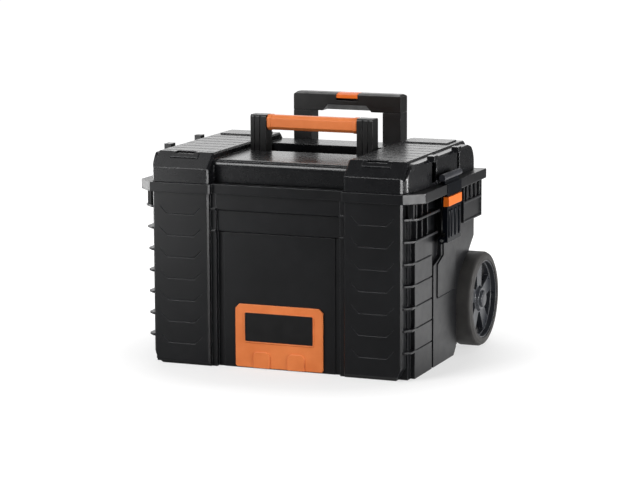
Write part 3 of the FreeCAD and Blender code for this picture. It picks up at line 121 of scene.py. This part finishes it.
def mouldedFinish(name, look):
    # a moulded, rubber or metal finish: mottled colour, uneven gloss, fine grain, rounded edges painted
    # paler as a highlight
    material = bpy.data.materials.new(name)
    material.use_nodes = True
    tree = material.node_tree
    shader = tree.nodes["Principled BSDF"]
    coords = tree.nodes.new("ShaderNodeTexCoord")
    stretch = look.get("stretch", (1, 1, 1))
    mottle = noiseAt(tree, coords, look["mottleScale"], surface["mottleDetail"], stretch)
    body = rampOf(tree, mottle, "Fac", surface["noiseSpan"], look["colours"])
    # painted highlight on the edges: a paler colour where the rounded normal leaves the true one
    rounded = tree.nodes.new("ShaderNodeBevel")
    rounded.samples = surface["edgeSamples"]
    rounded.inputs["Radius"].default_value = look["edgeRadius"]
    geometry = tree.nodes.new("ShaderNodeNewGeometry")
    facing = tree.nodes.new("ShaderNodeVectorMath")
    facing.operation = "DOT_PRODUCT"
    link(tree, rounded, "Normal", facing, 0)
    link(tree, geometry, "Normal", facing, 1)
    paintedHighlight = rangeOf(tree, facing, "Value", surface["highlightSpan"], (look["highlightAmount"], 0))
    mix = tree.nodes.new("ShaderNodeMix")
    mix.data_type = "RGBA"
    mix.inputs[colourB].default_value = (*look["paintedHighlight"], 1)
    link(tree, paintedHighlight, "Result", mix, "Factor")
    link(tree, body, "Color", mix, colourA)
    link(tree, mix, colourMixed, shader, "Base Color")
    gloss = noiseAt(tree, coords, look["glossScale"], surface["fineDetail"])
    uneven = rangeOf(tree, gloss, "Fac", surface["noiseSpan"], look["roughness"])
    link(tree, uneven, "Result", shader, "Roughness")
    grain = noiseAt(tree, coords, look["grainScale"], surface["fineDetail"], stretch)
    bump = tree.nodes.new("ShaderNodeBump")
    bump.inputs["Strength"].default_value = look["grain"]
    bump.inputs["Distance"].default_value = look["grainDepth"]
    link(tree, grain, "Fac", bump, "Height")
    link(tree, rounded, "Normal", bump, "Normal")
    link(tree, bump, "Normal", shader, "Normal")
    shader.inputs["Specular IOR Level"].default_value = look["shine"]
    shader.inputs["Metallic"].default_value = look.get("metal", 0)
    return material


# Finishes, with colours in linear light; the paler edge colour and its amount are a painted highlight
finishes = {
    "binPlastic": {"colours": ((0.0042, 0.0044, 0.0052), (0.0072, 0.0075, 0.0086)),
                   "paintedHighlight": (0.09, 0.093, 0.1), "highlightAmount": 0.7, "edgeRadius": 0.0018,
                   "roughness": (0.28, 0.35), "shine": 0.34, "mottleScale": 14, "glossScale": 60,
                   "grainScale": 900, "grain": 0.1, "grainDepth": 0.0004},
    "lidPlastic": {"colours": ((0.0042, 0.0044, 0.0052), (0.0072, 0.0075, 0.0086)),
                   "paintedHighlight": (0.09, 0.093, 0.1), "highlightAmount": 0.7, "edgeRadius": 0.002,
                   "roughness": (0.24, 0.29), "shine": 0.36, "mottleScale": 14, "glossScale": 60,
                   "grainScale": 900, "grain": 0.04, "grainDepth": 0.0003},
    "latchGloss": {"colours": ((0.0012, 0.002, 0.0036), (0.0026, 0.0036, 0.006)),
                   "paintedHighlight": (0.03, 0.034, 0.042), "highlightAmount": 0.6, "edgeRadius": 0.0012,
                   "roughness": (0.1, 0.17), "shine": 0.08, "mottleScale": 20, "glossScale": 70,
                   "grainScale": 1200, "grain": 0.05, "grainDepth": 0.0002},
    "handlePlastic": {"colours": ((0.0032, 0.0031, 0.0031), (0.0056, 0.0055, 0.0055)),
                      "paintedHighlight": (0.04, 0.04, 0.041), "highlightAmount": 0.6, "edgeRadius": 0.0016,
                      "roughness": (0.33, 0.46), "shine": 0.4, "mottleScale": 18, "glossScale": 70,
                      "grainScale": 1000, "grain": 0.2, "grainDepth": 0.0003},
    "barPlastic": {"colours": ((0.016, 0.017, 0.021), (0.026, 0.027, 0.033)),
                   "paintedHighlight": (0.07, 0.07, 0.078), "highlightAmount": 0.4, "edgeRadius": 0.001,
                   "roughness": (0.35, 0.48), "shine": 0.45, "mottleScale": 20, "glossScale": 70,
                   "grainScale": 1000, "grain": 0.15, "grainDepth": 0.0003},
    "orangeMoulding": {"colours": ((0.72, 0.185, 0.046), (0.82, 0.235, 0.066)),
                       "paintedHighlight": (0.9, 0.38, 0.17), "highlightAmount": 0.5, "edgeRadius": 0.0014,
                       "roughness": (0.38, 0.5), "shine": 0.35, "mottleScale": 22, "glossScale": 60,
                       "grainScale": 900, "grain": 0.15, "grainDepth": 0.0003},
    "signalOrange": {"colours": ((0.8, 0.15, 0.01), (0.9, 0.18, 0.014)),
                     "paintedHighlight": (0.95, 0.32, 0.08), "highlightAmount": 0.5, "edgeRadius": 0.001,
                     "roughness": (0.34, 0.46), "shine": 0.35, "mottleScale": 22, "glossScale": 60,
                     "grainScale": 900, "grain": 0.12, "grainDepth": 0.0003},
    "labelFilm": {"colours": ((0.005, 0.005, 0.0055), (0.009, 0.009, 0.0095)),
                  "paintedHighlight": (0.05, 0.05, 0.05), "highlightAmount": 0.4, "edgeRadius": 0.0005,
                  "roughness": (0.28, 0.36), "shine": 0.3, "mottleScale": 40, "glossScale": 90,
                  "grainScale": 1500, "grain": 0.05, "grainDepth": 0.0001},
    "tyreRubber": {"colours": ((0.036, 0.0345, 0.0335), (0.052, 0.05, 0.048)),
                   "paintedHighlight": (0.1, 0.097, 0.094), "highlightAmount": 0.5, "edgeRadius": 0.002,
                   "roughness": (0.58, 0.74), "shine": 0.3, "mottleScale": 30, "glossScale": 50,
                   "grainScale": 700, "grain": 0.35, "grainDepth": 0.0005},
    "hubPlastic": {"colours": ((0.02, 0.022, 0.027), (0.034, 0.037, 0.043)),
                   "paintedHighlight": (0.26, 0.265, 0.28), "highlightAmount": 0.9, "edgeRadius": 0.002,
                   "roughness": (0.26, 0.36), "shine": 0.5, "mottleScale": 25, "glossScale": 70,
                   "grainScale": 1000, "grain": 0.12, "grainDepth": 0.0003},
    "sealRubber": {"colours": ((0.006, 0.006, 0.006), (0.012, 0.012, 0.012)),
                   "paintedHighlight": (0.02, 0.02, 0.02), "highlightAmount": 0.3, "edgeRadius": 0.0008,
                   "roughness": (0.65, 0.8), "shine": 0.2, "mottleScale": 40, "glossScale": 60,
                   "grainScale": 900, "grain": 0.3, "grainDepth": 0.0003},
    "postPlastic": {"colours": ((0.0036, 0.0036, 0.0038), (0.0062, 0.0062, 0.0066)),
                    "paintedHighlight": (0.04, 0.04, 0.041), "highlightAmount": 0.6, "edgeRadius": 0.0016,
                    "roughness": (0.35, 0.47), "shine": 0.4, "mottleScale": 18, "glossScale": 70,
                    "grainScale": 1000, "grain": 0.2, "grainDepth": 0.0003},
    "tubeMetal": {"colours": ((0.5, 0.51, 0.53), (0.6, 0.61, 0.63)), "metal": 1,
                  "paintedHighlight": (0.7, 0.7, 0.71), "highlightAmount": 0.4, "edgeRadius": 0.0008,
                  "roughness": (0.26, 0.38), "shine": 0.5, "mottleScale": 30, "glossScale": 200,
                  "grainScale": 800, "grain": 0.08, "grainDepth": 0.0002,
                  "stretch": (1, 1, 0.04)},  # drawn along the tube
    "platedSteel": {"colours": ((0.42, 0.42, 0.43), (0.52, 0.52, 0.53)), "metal": 1,
                    "paintedHighlight": (0.65, 0.65, 0.66), "highlightAmount": 0.4, "edgeRadius": 0.0006,
                    "roughness": (0.22, 0.34), "shine": 0.5, "mottleScale": 60, "glossScale": 120,
                    "grainScale": 900, "grain": 0.08, "grainDepth": 0.0002},
}
materials = {name: mouldedFinish(name, look) for name, look in finishes.items()}

dressing = {
    "binPlastic": ["bin"],
    "lidPlastic": ["lid"],
    "latchGloss": pairOf("latch_lever"),
    "handlePlastic": pairOf("carry_arm") + ["tow_head"],
    "barPlastic": pairOf("latch_bar"),
    "orangeMoulding": ["front_badge_plate", "carry_grip"],
    "signalOrange": pairOf("latch_tab") + ["release_button"],
    "labelFilm": ["badge_label"],
    "tyreRubber": pairOf("tyre"),
    "hubPlastic": pairOf("hub") + pairOf("hub_cap") + pairOf("axle_nut"),
    "sealRubber": ["lid_seal"],
    "postPlastic": pairOf("handle_post") + pairOf("post_collar") + pairOf("middle_foot")
                   + pairOf("middle_collar") + pairOf("inner_foot") + pairOf("hinge_bracket")
                   + pairOf("wheel_bush") + ["release_bar"],
    "tubeMetal": pairOf("middle_tube") + pairOf("inner_tube"),
    "platedSteel": ["axle", "carry_rod", "post_screws", "bracket_screws"] + pairOf("hinge_pin")
                   + pairOf("carry_pin") + pairOf("latch_pin") + pairOf("lock_pin")
                   + pairOf("push_rod") + pairOf("button_spring"),
}
for finish, names in dressing.items():
    for name in names:
        piece = nodes[name]
        piece.data.materials.clear()
        piece.data.materials.append(materials[finish])
print("finishes on", sum(len(names) for names in dressing.values()), "of", len(nodes), "nodes")


# Softened edges: the nodes keep their meshes, the rounding is in modifiers (turns in degrees)
edgeRounding = {"widths": {"bin": 0.0004, "lid": 0.0005, "tow_head": 0.0012, "carry_grip": 0.0015,
                           "front_badge_plate": 0.0006},
                "usualWidth": 0.0006, "segments": 2, "turn": 30, "flatTurn": 1, "weldGap": 0.00001}


def roundOff(piece, width, segments, turn):
    bevel = piece.modifiers.new("round", "BEVEL")
    bevel.width = width
    bevel.segments = segments
    bevel.limit_method = "ANGLE"
    bevel.angle_limit = math.radians(turn)


def softenEdges(name):
    look = edgeRounding
    piece = nodes[name]
    weld = piece.modifiers.new("weld", "WELD")
    weld.merge_threshold = look["weldGap"]
    flat = piece.modifiers.new("flat", "DECIMATE")
    flat.decimate_type = "DISSOLVE"
    flat.angle_limit = math.radians(look["flatTurn"])
    roundOff(piece, look["widths"].get(name, look["usualWidth"]), look["segments"], look["turn"])
    smooth = piece.modifiers.new("normals", "WEIGHTED_NORMAL")
    smooth.keep_sharp = True


for name in nodes:
    softenEdges(name)
print("edges softened on", len(nodes), "nodes")


# Pieces that finish what the frame leaves plain
def addPiece(name, shape, finish, body):
    bmesh.ops.recalc_face_normals(shape, faces=shape.faces)
    for face in shape.faces:
        face.smooth = True
    mesh = bpy.data.meshes.new(name)
    shape.to_mesh(mesh)
    shape.free()
    mesh.materials.append(materials[finish])
    piece = bpy.data.objects.new(name, mesh)
    scene.collection.objects.link(piece)
    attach(piece, body)
    return piece


def joinRings(shape, rings, closed=False):
    # skins a row of equal rings; the row either closes on itself or is capped at both ends
    made = [[shape.verts.new(point) for point in ring] for ring in rings]
    count = len(made[0])
    rows = list(zip(made, made[1:])) + ([(made[-1], made[0])] if closed else [])
    for one, other in rows:
        for i in range(count):
            shape.faces.new((one[i], one[(i + 1) % count], other[(i + 1) % count], other[i]))
    if not closed:
        shape.faces.new(made[0])
        shape.faces.new(made[-1])


def frameRings(corners, section, lift):
    # carries a closed section round a closed outline; lift turns an outline place and a height into a point
    rings = []
    for i, corner in enumerate(corners):
        before, after = Vector(corners[i - 1]), Vector(corners[(i + 1) % len(corners)])
        here = Vector(corner)
        first, second = (here - before).normalized(), (after - here).normalized()
        outOne, outTwo = Vector((first.y, -first.x)), Vector((second.y, -second.x))
        miter = (outOne + outTwo) / (1 + outOne.dot(outTwo))
        rings.append([lift(here + miter * out, rise) for out, rise in section])
    return rings


# rounded ribs down the face of each latch lever, placed from its front edge and ending under the pull tab
leverRib = {"places": (0.018, 0.0315, 0.0535, 0.0755), "lowGap": 0.0085, "highGap": 0.005, "sunk": 0.003,
            "width": 0.0085, "proud": 0.0022, "endShare": 0.16, "steps": 18, "sides": 16}


def latchRibs(side):
    look = leverRib
    turn = 1 if side == "right" else -1
    leverLow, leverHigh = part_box("latch_lever_" + side)
    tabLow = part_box("latch_tab_" + side)[0]
    face = max(abs(leverLow.x), abs(leverHigh.x)) - look["sunk"]
    bottom, top = leverLow.z + look["lowGap"], tabLow.z - look["highGap"]
    shape = bmesh.new()
    for place in look["places"]:
        y = leverLow.y + place
        rings = []
        for step in range(1, look["steps"]):
            share = step / look["steps"]
            fromEnd = min(share, 1 - share) / look["endShare"]
            swell = math.sqrt(1 - (1 - min(fromEnd, 1)) ** 2)
            z = bottom + share * (top - bottom)
            ring = []
            for i in range(look["sides"]):
                angle = 2 * math.pi * i / look["sides"]
                out = face + look["proud"] * swell * math.sin(angle)
                ring.append((turn * out, y + look["width"] / 2 * swell * math.cos(angle), z))
            rings.append(ring)
        joinRings(shape, rings)
    addPiece("latchRibs_" + side, shape, "latchGloss", "latch_" + side)


# end collars of the carry grip, round its eight-sided section: each point is (out, share of the width)
gripCollar = {"chamfer": 0.006, "width": 0.009, "inset": 0.0006,
              "section": ((-0.0008, 0), (0.0003, 0), (0.0008, 0.08), (0.001, 0.3), (0.001, 0.7),
                          (0.0008, 0.92), (0.0003, 1), (-0.0008, 1)),
              "rounding": 0.0012, "segments": 2, "turn": 25}


def gripCollars():
    look = gripCollar
    low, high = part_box("carry_grip")
    cut = look["chamfer"]
    corners = [(low.y + cut, low.z), (high.y - cut, low.z), (high.y, low.z + cut), (high.y, high.z - cut),
               (high.y - cut, high.z), (low.y + cut, high.z), (low.y, high.z - cut), (low.y, low.z + cut)]
    for side, start, turn in (("right", high.x, -1), ("left", low.x, 1)):
        shape = bmesh.new()
        joinRings(shape, frameRings(corners, look["section"], lambda place, along: (
            start + turn * (look["inset"] + along * look["width"]), place.x, place.y)), closed=True)
        collar = addPiece("gripCollar_" + side, shape, "orangeMoulding", "carry_handle")
        roundOff(collar, look["rounding"], look["segments"], look["turn"])


# a raised lip round the front label, from just behind it to just proud of it
labelLip = {"gap": 0.0004, "width": 0.0022, "sunk": 0.0002, "proud": 0.0009, "shoulderShare": 0.7,
            "crownShare": 0.5, "corner": 0.004, "cornerSteps": 6}


def labelFrame():
    look = labelLip
    low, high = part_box("badge_label")
    half = look["width"] / 2
    reach = look["gap"] + half
    corners = []
    for x, z, start in ((high.x, high.z, 0), (low.x, high.z, 90), (low.x, low.z, 180), (high.x, low.z, 270)):
        inX = x + (reach - look["corner"] if x == high.x else look["corner"] - reach)
        inZ = z + (reach - look["corner"] if z == high.z else look["corner"] - reach)
        for step in range(look["cornerSteps"] + 1):
            angle = math.radians(start + 90 * step / look["cornerSteps"])
            corners.append((inX + look["corner"] * math.cos(angle), inZ + look["corner"] * math.sin(angle)))
    back = high.y + look["sunk"]
    depth = back - (low.y - look["proud"])
    shoulder, crown = depth * look["shoulderShare"], half * look["crownShare"]
    section = ((-half, 0), (half, 0), (half, shoulder), (crown, depth), (-crown, depth), (-half, shoulder))
    shape = bmesh.new()
    joinRings(shape, frameRings(corners, section, lambda place, rise: (place.x, back - rise, place.y)),
              closed=True)
    addPiece("labelLip", shape, "orangeMoulding", "box")


# wound springs under the release bar, in place of the plain sleeves
buttonSpring = {"turns": 3.0, "wireRadius": 0.0007, "stepsPerTurn": 28, "sides": 10, "keep": 0.57}


def coilSpring(side):
    look = buttonSpring
    node = "button_spring_" + side
    low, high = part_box(node)
    centre = (low + high) / 2
    wire = look["wireRadius"]
    radius = (high.x - low.x) / 2 - wire
    steps = int(look["turns"] * look["stepsPerTurn"])
    rings = []
    for step in range(steps + 1):
        share = step / steps
        angle = 2 * math.pi * look["turns"] * share
        out = Vector((math.cos(angle), math.sin(angle), 0))
        z = low.z + wire + share * (high.z - low.z - 2 * wire)
        middle = Vector((centre.x, centre.y, z)) + out * radius
        rings.append([middle + wire * (out * math.cos(part) + Vector((0, 0, math.sin(part))))
                      for part in (2 * math.pi * i / look["sides"] for i in range(look["sides"]))])
    shape = bmesh.new()
    joinRings(shape, rings)
    spring = addPiece("coilSpring_" + side, shape, "platedSteel", "tow_handle")
    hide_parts(node)
    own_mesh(spring)


for side in sides:
    latchRibs(side)
    coilSpring(side)
gripCollars()
labelFrame()
print("ribs, collars, lip and springs added")


# Floor and studio: spans are distances in metres (glowSpan a direction), the values beside them strengths
stageLook = {"floorSize": 30.0, "floorDrop": 0.0006, "floorColour": 0.32, "floorRoughness": 0.9,
             "floorShine": 0.1, "lift": (0.62, 1.0), "liftSpan": (0.3, 0.6), "mirrorPlace": (0.6, 0.75, 0),
             "mirror": (0.85, 0), "mirrorSpan": (0.5, 1.1), "glow": (0.05, 0.2), "glowSpan": (-0.6, 0.9)}


def paleFloor():
    material = bpy.data.materials.new("paleFloor")
    material.use_nodes = True
    tree = material.node_tree
    shader = tree.nodes["Principled BSDF"]
    tone = stageLook["floorColour"]
    shader.inputs["Base Color"].default_value = (tone, tone, tone, 1)
    shader.inputs["Roughness"].default_value = stageLook["floorRoughness"]
    shader.inputs["Specular IOR Level"].default_value = stageLook["floorShine"]
    shader.inputs["Emission Color"].default_value = (1, 1, 1, 1)
    coords = tree.nodes.new("ShaderNodeTexCoord")
    path = tree.nodes.new("ShaderNodeLightPath")
    # to the camera only, the floor glows up to plain white away from the object and glows less near it, a
    # painted shade round the object
    away = tree.nodes.new("ShaderNodeVectorMath")
    away.operation = "LENGTH"
    link(tree, coords, "Object", away, 0)
    paling = rangeOf(tree, away, "Value", stageLook["liftSpan"], stageLook["lift"])
    lift = mathOf(tree, "MULTIPLY", (path, "Is Camera Ray"), (paling, "Result"))
    # the floor glows to glossy rays only, white beside the object and dark beyond it: a painted reflection
    # that glossy surfaces mirror
    beside = tree.nodes.new("ShaderNodeVectorMath")
    beside.operation = "DISTANCE"
    beside.inputs[1].default_value = stageLook["mirrorPlace"]
    link(tree, coords, "Object", beside, 0)
    mirrored = rangeOf(tree, beside, "Value", stageLook["mirrorSpan"], stageLook["mirror"])
    both = mathOf(tree, "MULTIPLY_ADD", (path, "Is Glossy Ray"), (mirrored, "Result"), (lift, "Value"))
    link(tree, both, "Value", shader, "Emission Strength")
    return material


def makeFloor():
    half = stageLook["floorSize"] / 2
    mesh = bpy.data.meshes.new("floor")
    corners = [(-half, -half, 0), (half, -half, 0), (half, half, 0), (-half, half, 0)]
    mesh.from_pydata(corners, [], [(0, 1, 2, 3)])
    mesh.materials.append(paleFloor())
    floor = bpy.data.objects.new("floor", mesh)
    floor.location.z = cadBox[0][2] - stageLook["floorDrop"]
    scene.collection.objects.link(floor)


def makeWorld():
    # white to the camera; the light it sheds grows from the front to the rear of the studio
    world = bpy.data.worlds.new("studio")
    scene.world = world
    world.use_nodes = True
    tree = world.node_tree
    background = tree.nodes["Background"]
    background.inputs["Color"].default_value = (1, 1, 1, 1)
    coords = tree.nodes.new("ShaderNodeTexCoord")
    split = tree.nodes.new("ShaderNodeSeparateXYZ")
    link(tree, coords, "Generated", split, "Vector")
    glow = rangeOf(tree, split, "Y", stageLook["glowSpan"], stageLook["glow"])
    path = tree.nodes.new("ShaderNodeLightPath")
    seen = mathOf(tree, "MAXIMUM", (path, "Is Camera Ray"), (path, "Is Transmission Ray"))
    level = rangeOf(tree, seen, "Value", (0, 1), (0, 1))
    link(tree, glow, "Result", level, "To Min")
    link(tree, level, "Result", background, "Strength")


# lamps in metres and watts, all turned to the middle of the box
lamps = {
    "overhead": {"place": (0.3, 0.6, 2.4), "size": 1.0, "power": 10},
    "overLeft": {"place": (-1.25, -0.4, 2.2), "size": 0.7, "power": 2.5},
    "front": {"place": (-0.9, -1.7, 1.9), "size": 1.0, "power": 42},
    "frontLeft": {"place": (-1.05, -1.2, 0.3), "size": 0.6, "power": 5},
    "sideLeft": {"place": (-2.3, 0.7, 0.3), "size": 0.9, "power": 20},
    "sideRight": {"place": (2.1, -0.9, 0.15), "size": 0.8, "power": 42},
    "rearLeft": {"place": (-0.9, 2.3, 1.6), "size": 2.0, "power": 22},
    "rightStrip": {"place": (2.3, 0.75, 0.35), "size": 0.16, "tall": 0.7, "power": 30},
}
lampTarget = Vector((0, 0.02, 0.22))


def makeLamps():
    for name, look in lamps.items():
        data = bpy.data.lights.new(name, "AREA")
        data.shape = "RECTANGLE"
        data.size = look["size"]
        data.size_y = look.get("tall", look["size"])
        data.energy = look["power"]
        lamp = bpy.data.objects.new(name, data)
        lamp.location = look["place"]
        lamp.rotation_euler = (lampTarget - lamp.location).to_track_quat("-Z", "Y").to_euler()
        lamp.visible_camera = False
        scene.collection.objects.link(lamp)


# fitted to the photograph: azimuth from the front, elevation and roll in degrees, lens and sensor in mm
view = {"azimuth": 21.584, "elevation": 9.543, "roll": 0.223, "distance": 4.824,
        "target": (0.00964, 0.020, 0.21695), "lens": 142.38, "sensor": 36, "farthest": 60}


def makeCamera():
    azimuth, elevation = math.radians(view["azimuth"]), math.radians(view["elevation"])
    back = Vector((math.sin(azimuth) * math.cos(elevation), -math.cos(azimuth) * math.cos(elevation),
                   math.sin(elevation)))
    across = Vector((math.cos(azimuth), math.sin(azimuth), 0))
    up = back.cross(across)
    roll = Matrix.Rotation(math.radians(-view["roll"]), 4, "Z")
    turn = Matrix((across, up, back)).transposed().to_4x4() @ roll
    data = bpy.data.cameras.new("photoCamera")
    data.lens = view["lens"]
    data.sensor_width = view["sensor"]
    data.clip_end = view["farthest"]
    camera = bpy.data.objects.new("photoCamera", data)
    camera.matrix_world = Matrix.Translation(Vector(view["target"]) + back * view["distance"]) @ turn
    scene.collection.objects.link(camera)
    scene.camera = camera


makeFloor()
makeWorld()
makeLamps()
makeCamera()
scene.view_settings.view_transform = "Standard"
print("stage, lamps and camera ready")
